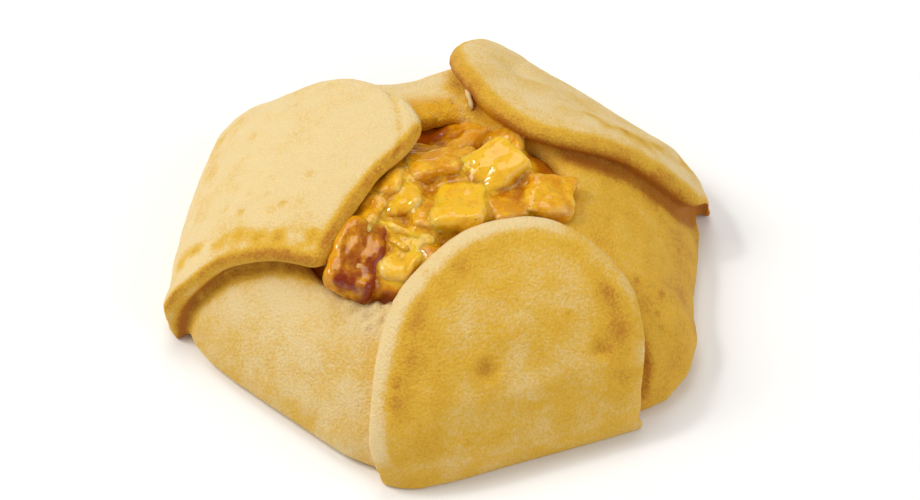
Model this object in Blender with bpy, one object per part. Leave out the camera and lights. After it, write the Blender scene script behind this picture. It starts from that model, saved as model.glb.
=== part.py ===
"""Mini apple pie: a six-sided parcel of folded dough with an apple filling in its open middle.

The dough is one solid. Three low inner walls and three thick outer flaps take turns round the six
sides, and the flaps lie over the walls. The filling is a second solid: a mound with apple dice
fused on. Metres, +Z up, base on Z = 0, the front flap faces -Y. Sides are counted anticlockwise
from above: 0 front flap, 1 right wall, 2 back-right flap, 3 back wall, 4 left flap, 5 left wall.
"""

import math
import random

import bmesh
import bpy
import numpy as np
from mathutils import Euler, Matrix, Vector

MM = 0.001

# Driving dimensions of the parcel, in metres
SIDE_APOTHEMS = (0.0392, 0.0420, 0.0393, 0.0402, 0.0386, 0.0388)
CORNER_SHARPNESS_FOOT = 17.0
CORNER_SHARPNESS_TOP = 7.5
DOME_HEIGHT = 0.0257
PLAN_POWER = 2.0 / 2.35
HEIGHT_POWER = 2.0 / 1.72
DOUGH = 0.0040
FOOT_ROUNDING = 0.0022
FLOOR = 0.0040
GAP = 0.0004
TRIM = 0.0008

# How far up the dome (0 foot, 1 top) the dough of each side reaches before the opening
OPENING_SHARES = (0.71, 0.70, 0.80, 0.83, 0.76, 0.56)

# Swellings of the dough: degrees from the front flap's middle, share up the dome,
# spread in degrees, spread in shares, height
SWELLINGS = (
    (43.0, 0.18, 10.0, 0.24, 0.0026),
    (84.0, 0.36, 12.0, 0.18, -0.0014),
    (106.0, 0.50, 14.0, 0.22, -0.0012),
    (128.0, 0.55, 16.0, 0.25, -0.0014),
    (168.0, 0.42, 14.0, 0.30, -0.0026),
    (203.0, 0.36, 12.0, 0.24, -0.0038),
    (270.0, 0.00, 8.0, 0.12, -0.0014),
    (330.0, 0.00, 6.0, 0.12, -0.0012),
)

# Flap outlines seen from above: across the side, out from the middle (mm), anticlockwise.
# The last points lie past the foot, where the flap joins the base
FRONT_FLAP = (
    (17.5, 44.0), (18.9, 37.0), (20.8, 31.0), (20.2, 25.6), (16.1, 19.2), (9.6, 14.9), (1.4, 14.3),
    (-6.2, 16.6), (-12.6, 20.0), (-17.3, 24.8), (-20.6, 30.6), (-22.3, 36.2), (-20.5, 44.0),
)
BACK_FLAP = (
    (22.0, 44.0), (20.5, 34.0), (17.5, 25.0), (12.6, 18.6), (6.0, 15.0), (-1.3, 12.9),
    (-7.6, 12.8), (-13.4, 16.8), (-19.2, 22.6), (-24.6, 27.6), (-27.0, 32.5), (-21.0, 44.0),
)
LEFT_FLAP = (
    (19.6, 44.0), (19.6, 35.0), (18.5, 28.5), (18.9, 20.6), (20.4, 13.0), (14.2, 10.6),
    (6.4, 7.4), (0.8, 4.2), (-5.0, 3.0), (-11.3, 7.5), (-17.5, 18.0), (-21.5, 30.0), (-22.5, 44.0),
)
# Side, outline, lift of the rim off the dough below, share of its thickness at the foot,
# share up the dome where it reaches its full thickness
FLAPS = (
    (0, FRONT_FLAP, 0.0003, 0.40, 0.30),
    (2, BACK_FLAP, 0.0008, 0.20, 0.26),
    (4, LEFT_FLAP, 0.0012, 0.10, 0.20),
)
FLAP_SINK = 0.0012

# The bowl's rings: base rings as shares of the foot, steps up the rounded foot, rows up the
# outside as shares of the opening's height, the rim as (share of the dough's depth, reach past
# the opening), rows down the inside, and the floor's ring as a share of the lowest inner row
BASE_RINGS = (0.60, 0.93)
FOOT_STEPS = (0.1, 0.5)
OUTER_ROWS = (0.16, 0.28, 0.40, 0.52, 0.64, 0.76, 0.88, 0.97)
RIM_ROWS = ((0.14, 0.010), (0.50, 0.018), (0.86, 0.010))
INNER_ROWS = (0.94, 0.78, 0.62, 0.46, 0.32)
FLOOR_RING = 0.90

# A flap's section from the middle of its top over the rim to the middle of its underside:
# place (a share of the outline if positive, else mm in from it), height as a share of the
# dough, and whether the rim's lift applies
FLAP_SECTION = (
    (0.30, 1.00, True), (0.55, 1.00, True), (0.75, 1.00, True),
    (-2.1, 0.97, True), (-0.9, 0.86, True), (-0.2, 0.66, True), (0.0, 0.42, True),
    (-0.4, 0.16, True), (-1.3, 0.03, True), (-3.4, 0.00, False), (0.50, 0.00, False),
)
FLAT_RADIUS = 0.052
LIFT_START = 0.6
FOOT_OUTSIDE = -0.10

# The mound of filling: rings across the bowl's floor, rows up its side, its shoulders as
# (reach past the opening, depth under the dome), its top's depth and rings
CORE_STEPS = 36
CORE_FLOOR_RINGS = (0.60, 0.88)
CORE_ROWS = (0.40, 0.60, 0.80, 0.94)
CORE_SHOULDERS = ((0.045, 0.0042), (0.075, 0.0026))
CORE_TOP_DEPTH = 0.0022
CORE_TOP_RINGS = (0.66, 0.33)

# Apple pieces (mm and degrees): X, Y and height of the middle, length, width, thickness,
# turn about Z, tilts about X and Y
DICE = (
    (-15.6, -12.2, 21.6, 9.6, 6.4, 5.0, 49, 10, -8),
    (-12.6, -6.6, 22.4, 6.5, 5.5, 5.0, 49, -8, -10),
    (-10.6, -15.2, 21.6, 9.0, 4.4, 5.4, 36, 14, -6),
    (-7.6, -5.0, 23.6, 7.0, 7.0, 5.5, -8, 6, -6),
    (-8.8, -10.4, 22.6, 9.0, 4.2, 5.0, -38, -14, 8),
    (-4.3, -9.2, 23.4, 7.0, 5.0, 6.0, 66, 10, 6),
    (1.2, -8.6, 24.0, 10.5, 8.0, 6.5, 62, -6, 10),
    (8.6, -2.4, 24.2, 10.0, 8.5, 6.5, 40, 8, -10),
    (7.2, -9.8, 22.8, 7.0, 6.5, 6.0, 10, 4, 12),
    (1.4, 0.8, 24.4, 9.5, 6.5, 4.5, 4, -10, 6),
    (12.8, -9.4, 24.0, 7.4, 7.2, 4.5, -22, 5, 8),
    (5.2, 6.8, 23.0, 7.0, 5.6, 4.0, 30, -16, 6),
    (-1.6, 4.8, 23.0, 4.5, 4.5, 3.6, -30, -10, -6),
)
DIE_BEVEL = 0.0013

CRUST_COLOUR = (0.62, 0.40, 0.15, 1.0)
FILLING_COLOUR = (0.60, 0.33, 0.05, 1.0)

SIDES = 6
SIDE_ANGLE = math.tau / SIDES
FRONT = math.radians(-90.0)
ROUND_STEPS = 54


def hexagon_radius(angle, sharpness):
    """Plan radius of the rounded hexagon at an angle."""
    total = 0.0
    for side, apothem in enumerate(SIDE_APOTHEMS):
        reach = math.cos(angle - FRONT - side * SIDE_ANGLE) / apothem
        total += max(0.0, reach) ** sharpness
    return total ** (-1.0 / sharpness)


def swelling(angle, share):
    """Outward bulge of the dough at a place on the dome."""
    bulge = 0.0
    for degrees, middle, spread, rise, height in SWELLINGS:
        turn = (math.degrees(angle - FRONT) - degrees + 180.0) % 360.0 - 180.0
        bulge += height * math.exp(-(turn / spread) ** 2 - ((share - middle) / rise) ** 2)
    return bulge


def smooth_dome(angle, share):
    """Point on the dome's plain outer surface, share 0 at the foot and 1 at the top."""
    if share < 0.0:
        radius = hexagon_radius(angle, CORNER_SHARPNESS_FOOT)
        return Vector((radius * math.cos(angle), radius * math.sin(angle), 1.5 * DOME_HEIGHT * share))
    quarter = min(share, 0.9999) * math.pi / 2
    foot = hexagon_radius(angle, CORNER_SHARPNESS_FOOT)
    top = hexagon_radius(angle, CORNER_SHARPNESS_TOP)
    radius = (foot + (top - foot) * share) * math.cos(quarter) ** PLAN_POWER
    height = DOME_HEIGHT * math.sin(quarter) ** HEIGHT_POWER
    return Vector((radius * math.cos(angle), radius * math.sin(angle), height))


def dome_normal(angle, share):
    """Outward direction of the dome's surface."""
    step = 0.004
    low = max(share - step, 0.0)
    high = min(max(share + step, step), 0.99)
    around = smooth_dome(angle + step, max(share, 0.0)) - smooth_dome(angle - step, max(share, 0.0))
    upward = smooth_dome(angle, high) - smooth_dome(angle, low)
    if share > 0.97:
        return Vector((0.0, 0.0, 1.0))
    return around.cross(upward).normalized()


def on_dome(angle, share, offset):
    """Point at a distance off the dome's surface, with the dough's swellings."""
    lift = offset + swelling(angle, share)
    return smooth_dome(angle, share) + dome_normal(angle, share) * lift


def share_at(angle, radius):
    """Share up the dome where its plan radius has a given value."""
    low, high = 0.0, 0.9999
    for _ in range(40):
        middle = (low + high) / 2
        point = smooth_dome(angle, middle)
        if math.hypot(point.x, point.y) > radius:
            low = middle
        else:
            high = middle
    return low


def periodic_curve(points, per_span):
    """Closed Catmull-Rom curve through points, per_span steps between each two."""
    nodes = np.array(points, dtype=float)
    count = len(nodes)
    curve = []
    for index in range(count):
        before, start, end, after = (nodes[(index + shift) % count] for shift in (-1, 0, 1, 2))
        for step in range(per_span):
            t = step / per_span
            cubic = 2 * start + (end - before) * t
            cubic += (2 * before - 5 * start + 4 * end - after) * t ** 2
            cubic += (3 * start - before - 3 * end + after) * t ** 3
            curve.append(cubic / 2)
    return np.array(curve)


def loft(name, rings, first_cap, last_cap):
    """Closed solid through rings of equal length, each end closed to a point."""
    mesh = bmesh.new()
    rows = [[mesh.verts.new(point) for point in ring] for ring in rings]
    count = len(rings[0])
    for lower, upper in zip(rows, rows[1:]):
        for index in range(count):
            after = (index + 1) % count
            mesh.faces.new((lower[index], lower[after], upper[after], upper[index]))
    first = mesh.verts.new(first_cap)
    last = mesh.verts.new(last_cap)
    for index in range(count):
        after = (index + 1) % count
        mesh.faces.new((rows[0][after], rows[0][index], first))
        mesh.faces.new((rows[-1][index], rows[-1][after], last))
    bmesh.ops.recalc_face_normals(mesh, faces=mesh.faces)
    if mesh.calc_volume(signed=True) < 0:
        bmesh.ops.reverse_faces(mesh, faces=mesh.faces)
    data = bpy.data.meshes.new(name)
    mesh.to_mesh(data)
    mesh.free()
    return bpy.data.objects.new(name, data)


def opening_share(angle):
    """Share up the dome where the dough ends at the opening, smooth from side to side."""
    turn = ((angle - FRONT) / SIDE_ANGLE) % SIDES
    side = int(turn)
    blend = (1 - math.cos(math.pi * (turn - side))) / 2
    here = OPENING_SHARES[side % SIDES]
    there = OPENING_SHARES[(side + 1) % SIDES]
    return here + (there - here) * blend


def round_angles(count):
    """Evenly spaced plan angles."""
    return [FRONT + math.tau * step / count for step in range(count)]


def above(point, height):
    """The point, raised to a height where it lies lower."""
    return Vector((point.x, point.y, max(point.z, height)))


def dough_bowl():
    """The base and the six walls: a bowl of even thickness whose rim is the opening."""
    angles = round_angles(ROUND_STEPS)
    below = Vector((0.0, 0.0, -TRIM))
    rings = [[smooth_dome(angle, 0.0) * scale + below for angle in angles] for scale in BASE_RINGS]
    for rise in FOOT_STEPS:
        inward = -FOOT_ROUNDING * (1 - rise) ** 2
        climb = Vector((0.0, 0.0, FOOT_ROUNDING * rise))
        rings.append([on_dome(angle, 0.0, inward) + climb for angle in angles])
    for row in OUTER_ROWS:
        rings.append([on_dome(angle, row * opening_share(angle), 0.0) for angle in angles])
    for depth, past in RIM_ROWS:
        rings.append([
            on_dome(angle, opening_share(angle) + past, -depth * DOUGH) for angle in angles
        ])
    for row in INNER_ROWS:
        rings.append([above(on_dome(angle, row * opening_share(angle), -DOUGH), FLOOR) for angle in angles])
    rings.append([Vector((point.x * FLOOR_RING, point.y * FLOOR_RING, FLOOR)) for point in rings[-1]])
    return loft("bowl", rings, below, Vector((0, 0, FLOOR)))


def to_flat(angle, share):
    """Place on the dome laid out flat: 0 at the top, 1 at the foot."""
    return np.array((math.cos(angle), math.sin(angle))) * (1.0 - share)


def from_flat(place):
    """Angle and share of a place on the flat layout."""
    return math.atan2(place[1], place[0]), 1.0 - math.hypot(place[0], place[1])


def flap_outline(side, outline):
    """A flap's outline on the flat layout, from its sizes seen from above."""
    axis = FRONT + side * SIDE_ANGLE
    places = []
    for across, out in outline:
        angle = axis + math.atan2(across, out)
        radius = math.hypot(across, out) * MM
        edge = hexagon_radius(angle, CORNER_SHARPNESS_FOOT)
        share = share_at(angle, radius) if radius < edge else FOOT_OUTSIDE
        places.append(to_flat(angle, share))
    return periodic_curve(places, 4)


def foot_share(share, foot, full):
    """Share of a flap's thickness at a height, thinner where it folds up from the base."""
    climb = min(1.0, max(0.0, share / full))
    return foot + (1.0 - foot) * math.sin(climb * math.pi / 2)


def flap(name, side, outline, lift, foot, full):
    """A thick flap of dough over the dome, its rim rounded and a little lifted."""
    edge = flap_outline(side, outline)
    middle = edge.mean(axis=0)
    rings = []
    for inset, level, lifted in FLAP_SECTION:
        ring = []
        for place in edge:
            arm = place - middle
            reach = np.linalg.norm(arm)
            scale = inset if inset > 0 else 1.0 + inset * MM / FLAT_RADIUS / reach
            angle, share = from_flat(middle + arm * scale)
            nearness = max(0.0, scale - LIFT_START) / (1.0 - LIFT_START)
            rise = level * DOUGH * foot_share(share, foot, full) + lift * nearness ** 2
            ring.append(on_dome(angle, share, rise if lifted else -FLAP_SINK))
        rings.append(ring)
    angle, share = from_flat(middle)
    top = on_dome(angle, share, DOUGH)
    bottom = on_dome(angle, share, -FLAP_SINK)
    return loft(name, rings, top, bottom)


def apple_core():
    """The filling's mound: it fills the bowl and rises in the opening."""
    angles = round_angles(CORE_STEPS)
    bottom = FLOOR + GAP
    foot = [on_dome(angle, INNER_ROWS[-1] * opening_share(angle), -DOUGH - 2 * GAP) for angle in angles]
    rings = [
        [Vector((point.x * scale, point.y * scale, bottom)) for point in foot]
        for scale in CORE_FLOOR_RINGS
    ]
    for row in CORE_ROWS:
        rings.append([
            above(on_dome(angle, row * opening_share(angle), -DOUGH - 1.5 * GAP), bottom)
            for angle in angles
        ])
    for past, depth in CORE_SHOULDERS:
        rings.append([on_dome(angle, opening_share(angle) + past, -depth) for angle in angles])
    for pull in CORE_TOP_RINGS:
        ring = []
        for angle in angles:
            start = opening_share(angle) + CORE_SHOULDERS[-1][0]
            ring.append(on_dome(angle, 1.0 - (1.0 - start) * pull, -CORE_TOP_DEPTH))
        rings.append(ring)
    return loft("core", rings, Vector((0, 0, bottom)), Vector((0, 0, DOME_HEIGHT - CORE_TOP_DEPTH)))


def apple_die(index, die):
    """One cut piece of apple: a box with its edges broken, as uneven as cut by hand."""
    across, along, height, length, width, thickness, turn, tilt, lean = die
    draw = random.Random(index)
    place = Vector((across, along, height)) * MM
    spin = Euler((math.radians(tilt), math.radians(lean), math.radians(turn))).to_matrix().to_4x4()
    mesh = bmesh.new()
    bmesh.ops.create_cube(mesh, size=1.0)
    size = Vector((length, width, thickness)) * MM
    for vert in mesh.verts:
        jitter = [1.0 + draw.uniform(-0.12, 0.12) for _ in range(3)]
        vert.co = Vector(vert.co[axis] * size[axis] * jitter[axis] for axis in range(3))
    bmesh.ops.bevel(mesh, geom=mesh.edges, offset=DIE_BEVEL, segments=2, affect="EDGES", profile=0.6)
    bmesh.ops.transform(mesh, matrix=Matrix.Translation(place) @ spin, verts=mesh.verts)
    data = bpy.data.meshes.new(f"die_{index:02d}")
    mesh.to_mesh(data)
    mesh.free()
    return bpy.data.objects.new(f"die_{index:02d}", data)


def material(name, colour, roughness):
    """A plain food material."""
    made = bpy.data.materials.new(name)
    made.use_nodes = True
    shader = made.node_tree.nodes["Principled BSDF"]
    shader.inputs["Base Color"].default_value = colour
    shader.inputs["Roughness"].default_value = roughness
    shader.inputs["Metallic"].default_value = 0.0
    return made


def fuse(name, base, pieces, cutters, home):
    """Join pieces to a base and cut it, in one solid."""
    home.objects.link(base)
    base.name = name
    group = bpy.data.collections.new(f"{name}_pieces")
    bpy.context.scene.collection.children.link(group)
    for piece in pieces:
        group.objects.link(piece)
    join = base.modifiers.new("join", "BOOLEAN")
    join.operation = "UNION"
    join.operand_type = "COLLECTION"
    join.collection = group
    join.solver = "MANIFOLD"
    for cutter in cutters:
        cut = base.modifiers.new("cut", "BOOLEAN")
        cut.operation = "DIFFERENCE"
        cut.object = cutter
        cut.solver = "MANIFOLD"
    graph = bpy.context.evaluated_depsgraph_get()
    fused = bpy.data.meshes.new_from_object(base.evaluated_get(graph), depsgraph=graph)
    base.modifiers.clear()
    base.data = fused
    for piece in pieces:
        bpy.data.objects.remove(piece)
    bpy.data.collections.remove(group)
    return base


def drop_scraps(solid):
    """Keep only the largest closed shell and clean up slivers."""
    mesh = bmesh.new()
    mesh.from_mesh(solid.data)
    bmesh.ops.dissolve_degenerate(mesh, edges=mesh.edges, dist=0.00001)
    unseen = set(mesh.verts)
    shells = []
    while unseen:
        stack = [unseen.pop()]
        shell = set(stack)
        while stack:
            vert = stack.pop()
            for edge in vert.link_edges:
                other = edge.other_vert(vert)
                if other in unseen:
                    unseen.discard(other)
                    shell.add(other)
                    stack.append(other)
        shells.append(shell)
    shells.sort(key=len, reverse=True)
    for shell in shells[1:]:
        bmesh.ops.delete(mesh, geom=list(shell), context="VERTS")
    bmesh.ops.triangulate(mesh, faces=mesh.faces)
    mesh.to_mesh(solid.data)
    mesh.free()


def table_cutter(home):
    """A block below the base plane that trims the flaps' feet flat."""
    bpy.ops.mesh.primitive_cube_add(size=0.2, location=(0.0, 0.0, -0.1))
    block = bpy.context.object
    block.name = "table_cutter"
    for owner in list(block.users_collection):
        owner.objects.unlink(block)
    home.objects.link(block)
    block.hide_render = True
    block.display_type = "WIRE"
    return block


def main():
    for old in list(bpy.data.objects):
        bpy.data.objects.remove(old)
    home = bpy.data.collections.new("mini_apple_pie")
    cutters = bpy.data.collections.new("cutters")
    bpy.context.scene.collection.children.link(home)
    bpy.context.scene.collection.children.link(cutters)
    table = table_cutter(cutters)

    flaps = [flap(f"flap_{sizes[0]}", *sizes) for sizes in FLAPS]
    crust = fuse("crust", dough_bowl(), flaps, [table], home)
    drop_scraps(crust)
    crust.data.materials.clear()
    crust.data.materials.append(material("baked_dough", CRUST_COLOUR, 0.62))

    dice = [apple_die(index, die) for index, die in enumerate(DICE)]
    filling = fuse("apple_filling", apple_core(), dice, [], home)
    drop_scraps(filling)
    filling.data.materials.clear()
    filling.data.materials.append(material("glazed_apple", FILLING_COLOUR, 0.18))


if __name__ == "__main__":
    main()
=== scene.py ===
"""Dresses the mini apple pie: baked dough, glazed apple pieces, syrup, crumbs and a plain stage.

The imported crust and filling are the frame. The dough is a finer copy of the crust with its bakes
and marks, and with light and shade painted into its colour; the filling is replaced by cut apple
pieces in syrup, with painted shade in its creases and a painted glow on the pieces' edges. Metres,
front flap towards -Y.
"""

import math
import random

import bmesh
import bpy
import numpy as np
from bpy.props import FloatProperty, FloatVectorProperty, IntProperty, PointerProperty
from mathutils import Euler, Matrix, Vector, noise
from mathutils.bvhtree import BVHTree
from mathutils.kdtree import KDTree


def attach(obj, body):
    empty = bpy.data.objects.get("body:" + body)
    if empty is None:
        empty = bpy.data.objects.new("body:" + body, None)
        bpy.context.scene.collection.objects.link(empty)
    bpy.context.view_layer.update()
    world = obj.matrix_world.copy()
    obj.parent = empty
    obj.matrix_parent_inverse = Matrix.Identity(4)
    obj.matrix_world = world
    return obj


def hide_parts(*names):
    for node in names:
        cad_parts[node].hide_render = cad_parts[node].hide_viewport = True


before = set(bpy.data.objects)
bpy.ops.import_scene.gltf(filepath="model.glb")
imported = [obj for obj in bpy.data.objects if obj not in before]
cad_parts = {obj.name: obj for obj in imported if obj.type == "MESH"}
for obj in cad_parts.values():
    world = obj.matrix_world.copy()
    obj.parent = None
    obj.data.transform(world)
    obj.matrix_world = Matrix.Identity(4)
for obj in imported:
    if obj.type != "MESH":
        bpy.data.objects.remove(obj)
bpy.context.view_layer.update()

bl_info = {
    "name": "Mini Apple Pie",
    "version": (1, 0, 0),
    "blender": (4, 5, 0),
    "location": "3D View > Sidebar > Apple Pie",
    "description": "Bakes and fills a folded mini apple pie round its solid frame",
    "category": "Object",
}

MM = 0.001
FRONT = math.radians(-90.0)
SIDE_ANGLE = math.radians(60.0)
SIDES = 6

# The dome under the flaps, as the solid frame has it
SIDE_APOTHEMS = (0.0392, 0.0420, 0.0393, 0.0402, 0.0386, 0.0388)
CORNER_SHARPNESS = (17.0, 7.5)
DOME_HEIGHT = 0.0257
PLAN_POWER = 2.35
HEIGHT_POWER = 1.72
DOUGH = 0.0040
SWELLINGS = (
    (43.0, 0.18, 10.0, 0.24, 0.0026),
    (84.0, 0.36, 12.0, 0.18, -0.0014),
    (106.0, 0.50, 14.0, 0.22, -0.0012),
    (128.0, 0.55, 16.0, 0.25, -0.0014),
    (168.0, 0.42, 14.0, 0.30, -0.0026),
    (203.0, 0.36, 12.0, 0.24, -0.0038),
    (270.0, 0.00, 8.0, 0.12, -0.0014),
    (330.0, 0.00, 6.0, 0.12, -0.0012),
)

# Pits in the dough (mm): X, Y, Z, radius, depth
PITS = (
    (-4.3, -35.2, 17.0, 1.7, 0.55), (13.7, -36.1, 15.7, 1.6, 0.50),
    (10.0, -31.4, 20.4, 0.5, 0.20), (-9.5, -41.0, 8.5, 0.6, 0.16), (2.5, -39.6, 11.3, 0.5, 0.16),
    (-23.6, 20.3, 20.7, 0.8, 0.35), (-19.4, 3.6, 27.0, 0.8, 0.32), (-32.2, 8.2, 19.4, 0.9, 0.28),
    (-30.6, 4.5, 21.7, 0.9, 0.30), (-24.9, 0.9, 25.3, 0.7, 0.24), (-26.2, 4.5, 24.2, 0.5, 0.20),
    (24.0, -25.2, 16.1, 0.8, 0.35), (27.6, -26.8, 13.2, 0.7, 0.32), (25.3, -30.1, 13.1, 0.5, 0.25),
    (25.4, -31.9, 11.8, 0.5, 0.22), (36.4, -13.1, 10.1, 0.5, 0.2), (35.3, -15.9, 9.6, 0.5, 0.2),
)
# The raised lip round a pit: its share of the depth, its place and its sharpness
PIT_SHARPNESS = 1.3
PIT_LIP = (0.22, 1.5, 2.2)
# Darker colour in and round each pit: amount and sharpness
PIT_DARKENING = (0.40, 1.1)
# Line of the deep fold beside the front flap's right edge, and the crease round the left
# flap's tip (mm)
FOLD_LINE = ((21.4, -31.6, 15.5), (21.4, -33.9, 12.0), (20.9, -36.8, 7.6), (19.3, -39.6, 3.0))
TIP_CREASE = (
    (-2.1, 17.2, 27.6), (-2.4, 13.4, 28.6), (-2.8, 10.2, 29.1), (-3.4, 7.5, 29.4),
    (-4.5, 3.8, 29.5), (-6.0, 0.6, 29.5),
)
# Creases: line, depth and width (mm), and the painted shade along the crease, as a deeper baking
# colour, with that shade's width (mm)
CREASES = ((FOLD_LINE, 1.2, 0.9, 0.80, 1.2), (TIP_CREASE, 0.45, 0.65, 0.38, 0.75))
# Brown streaks: line (mm), spread (mm), bake
STREAKS = (
    (((28.4, 6.4, 21.6), (30.5, 2.1, 22.0), (35.9, -0.2, 18.3), (42.7, -0.1, 11.5)), 1.9, 0.55),
    (((-40.5, 6.1, 12.0), (-33.6, 0.5, 20.3), (-29.1, -3.0, 23.1), (-25.0, -6.6, 24.4),
      (-21.5, -8.2, 25.4)), 1.9, 0.62),
    (((-4.4, -20.8, 26.4), (-10.6, -24.7, 24.3), (-15.7, -29.8, 20.4), (-17.5, -33.5, 15.5)), 3.0, 0.22),
    (((16.7, -29.4, 21.2), (17.6, -34.5, 17.1), (17.4, -37.5, 11.0)), 2.4, 0.24),
    (((-39.0, 12.0, 15.0), (-33.0, 21.0, 14.0), (-22.0, 30.0, 13.0)), 4.0, 0.22),
)
# Soft dents in the dough (mm): X, Y, Z, radius, depth
DENTS = (
    (44.0, -6.0, 5.0, 6.0, 1.5), (21.6, 20.4, 20.7, 3.0, 0.9), (20.8, -41.5, 1.5, 3.0, 0.8),
    (34.0, 12.0, 18.0, 9.0, 0.5),
)
# Places where the dough tore and crumbled (mm): X, Y, Z, radius
TORN = (
    (-19.7, -16.9, 19.5, 3.4), (-17.7, -20.6, 19.3, 3.6), (-14.8, -21.5, 20.2, 3.6),
    (3.7, 13.2, 24.1, 4.6), (8.5, 13.4, 24.0, 3.4),
)
# Relief of the torn places: size of the lumps, seed, height
TORN_RELIEF = ((0.0017, 4, 0.00075), (0.0009, 5, 0.00050))
# Soft waves of all the dough: size of the lumps, seed, share of the unevenness
WAVES = ((0.011, 1, 1.0), (0.0042, 2, 0.40), (0.0017, 3, 0.18))
# Rounds that smooth the remeshed dough, and the normals that it is shaped along
DOUGH_ROUNDS = 16
NORMAL_ROUNDS = 6
# Dough counts as flap where it stands this share of its thickness over the dome
FLAP_SHARE = 0.55
# Turn about the pie (degrees) where the front flap ends on each side, and the back flap ends
FRONT_ENDS = (56.0, 312.0)
BACK_END = 170.0
FRONT_FLAP, BACK_FLAP, LEFT_FLAP = 0, 2, 4
# Direction the light comes from; dough turned away from it gets painted shade, a deeper baking colour
KEY_LIGHT_DIRECTION = (-0.80, 0.35, 0.49)
# Each flap's baking colour with painted light and shade: face, rim, the rim's width, and the browned
# band inside it (mm): side, face, rim, rim width, band, band's middle, band's spread. The faces are
# partly real baking, partly painted shade, deeper on the flaps turned from the light; the front rim
# is painted pale where it faces the light (painted highlight), the back rim deep (painted shade)
FLAP_BAKES_AND_LIGHT = (
    (0, 0.48, -0.02, 3.1, 0.15, 5.2, 2.0),
    (2, 0.24, 0.80, 2.4, 0.0, 5.0, 1.6),
    (4, 0.05, 0.12, 1.6, 0.0, 5.0, 1.6),
)
# Bake of the walls between the flaps, by side: partly real baking, partly painted shade, which is
# deeper on the walls turned from the key light
WALL_BAKES_AND_SHADE = (0.50, 0.56, 0.48, 0.14, 0.10, 0.20)

# Degrees over which one wall's bake blends into the next
WALL_BLEND = 24.0
# Uneven baking: size of the patches, seed, amount
BAKE_CLOUDS = ((0.012, 6, 0.12), (0.0045, 7, 0.09))
BAKE_AND_SHADE_LIMITS = (-0.05, 1.25)

# Apple pieces (mm and degrees): X, Y, Z of the middle, length, width, thickness, turn,
# tilts about X and Y, wedge (1 none, 0 a sharp edge), ripeness (0 pale, 1 amber), charring and its
# painted shade
APPLE = (
    (-17.4, -11.4, 22.2, 13.0, 7.6, 6.8, 54, 14, -10, 0.75, 0.9, 0.95),
    (-14.6, -7.4, 22.4, 8.6, 5.6, 6.4, 49, -8, -12, 0.7, 0.65, 0.10),
    (-12.4, -3.4, 23.2, 6.4, 5.4, 5.6, 20, -8, -14, 0.8, 0.5, 0.0),
    (-10.0, -13.8, 22.2, 10.6, 4.8, 6.0, 42, 20, -6, 0.40, 0.15, 0.0),
    (-8.0, -4.4, 23.5, 8.6, 7.4, 6.0, -8, 6, -10, 0.8, 0.35, 0.0),
    (-9.2, -10.0, 23.0, 10.6, 3.4, 5.6, -42, -16, 10, 0.35, 0.2, 0.0),
    (-11.4, -10.6, 22.6, 8.6, 2.8, 5.2, -62, -18, 8, 0.4, 0.35, 0.0),
    (-4.5, -8.6, 23.0, 8.6, 5.8, 6.6, 66, 10, 6, 0.8, 0.6, 0.0),
    (1.0, -8.4, 23.4, 12.0, 8.4, 7.6, 62, -8, 10, 0.75, 0.15, 0.0),
    (8.8, -3.2, 23.4, 9.8, 8.4, 9.0, 14, 8, -12, 0.8, 0.05, 0.0),
    (7.6, -10.4, 22.3, 8.6, 7.0, 6.5, 10, 4, 12, 0.7, 0.85, 0.10),
    (1.2, 0.4, 24.1, 11.5, 7.4, 5.4, 6, -12, 6, 0.6, 0.6, 0.0),
    (14.6, -10.8, 22.3, 8.4, 8.0, 6.8, -24, 6, 14, 0.9, 0.55, 0.0),
    (6.4, 6.2, 22.0, 9.0, 6.4, 4.6, 30, -16, 6, 0.6, 0.8, 0.05),
    (-2.0, 5.2, 22.6, 7.0, 5.4, 4.8, -30, -10, -6, 0.7, 0.8, 0.1),
    (-4.0, -2.4, 22.4, 6.6, 5.0, 5.0, 20, 8, -4, 0.7, 0.9, 0.15),
    (-5.2, -13.8, 21.6, 8.0, 5.0, 5.6, 32, 14, 4, 0.6, 0.65, 0.0),
    (12.4, 2.2, 22.4, 7.4, 5.4, 5.0, 70, -6, 6, 0.7, 0.5, 0.0),
    (-13.6, -6.2, 23.8, 8.0, 5.0, 6.0, 42, 6, -10, 0.6, 0.7, 0.0),
    (-8.6, -1.2, 24.2, 7.0, 5.0, 5.4, 62, -8, 8, 0.7, 0.5, 0.0),
    (-5.4, 2.8, 24.2, 6.6, 5.0, 5.0, 78, 8, -8, 0.7, 0.8, 0.05),
)
# Softening of a cut piece: bevel, rounds of smoothing, and lumps: size, height, first seed
APPLE_BEVEL = 0.0011
APPLE_ROUNDS = 6
APPLE_LUMPS = ((0.0046, 0.00075, 20), (0.0019, 0.00034, 50))
APPLE_WRINKLES = (0.0010, 0.00020, 80)
FIBRE_STRETCH = (0.4, 1.0, 1.0)
CUT_ERROR = 0.16
# Directions in which the browned piece is darkest: its faces turned from the light, which get painted
# shade, and its charred end
SHADED_FACE_DIRECTION = (0.55, -0.75, 0.1)
BROWNED_END = (0.35, -0.90, 0.0)

# Middle of the opening (mm), and its reach along X and Y where the dough is wet
OPENING = (-1.5, -3.5)
WET_REACH = (19.0, 17.0)
# Bed of soaked fruit: middle (mm), top, its fall towards the edge and the reach of that fall
BED_MIDDLE = (-1.5, -4.0)
BED_TOP = 0.0236
BED_FALL = 0.0024
BED_REACH = 0.018
BED_SPREAD = 0.0016
BED_RISE = 0.0012
# Syrup: mesh spacings, how far it is grown and drawn back, and the rounds of each smoothing
SYRUP_MESHES = (0.0007, 0.0005, 0.0004)
SYRUP_GROWTH = (0.00045, 1)
SYRUP_RETURN = (-0.00060, 4)
# Smooth pool of syrup at the front (mm): X, Y, Z, radius
POOL = (-14.2, -18.6, 19.3, 3.6)
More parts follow.
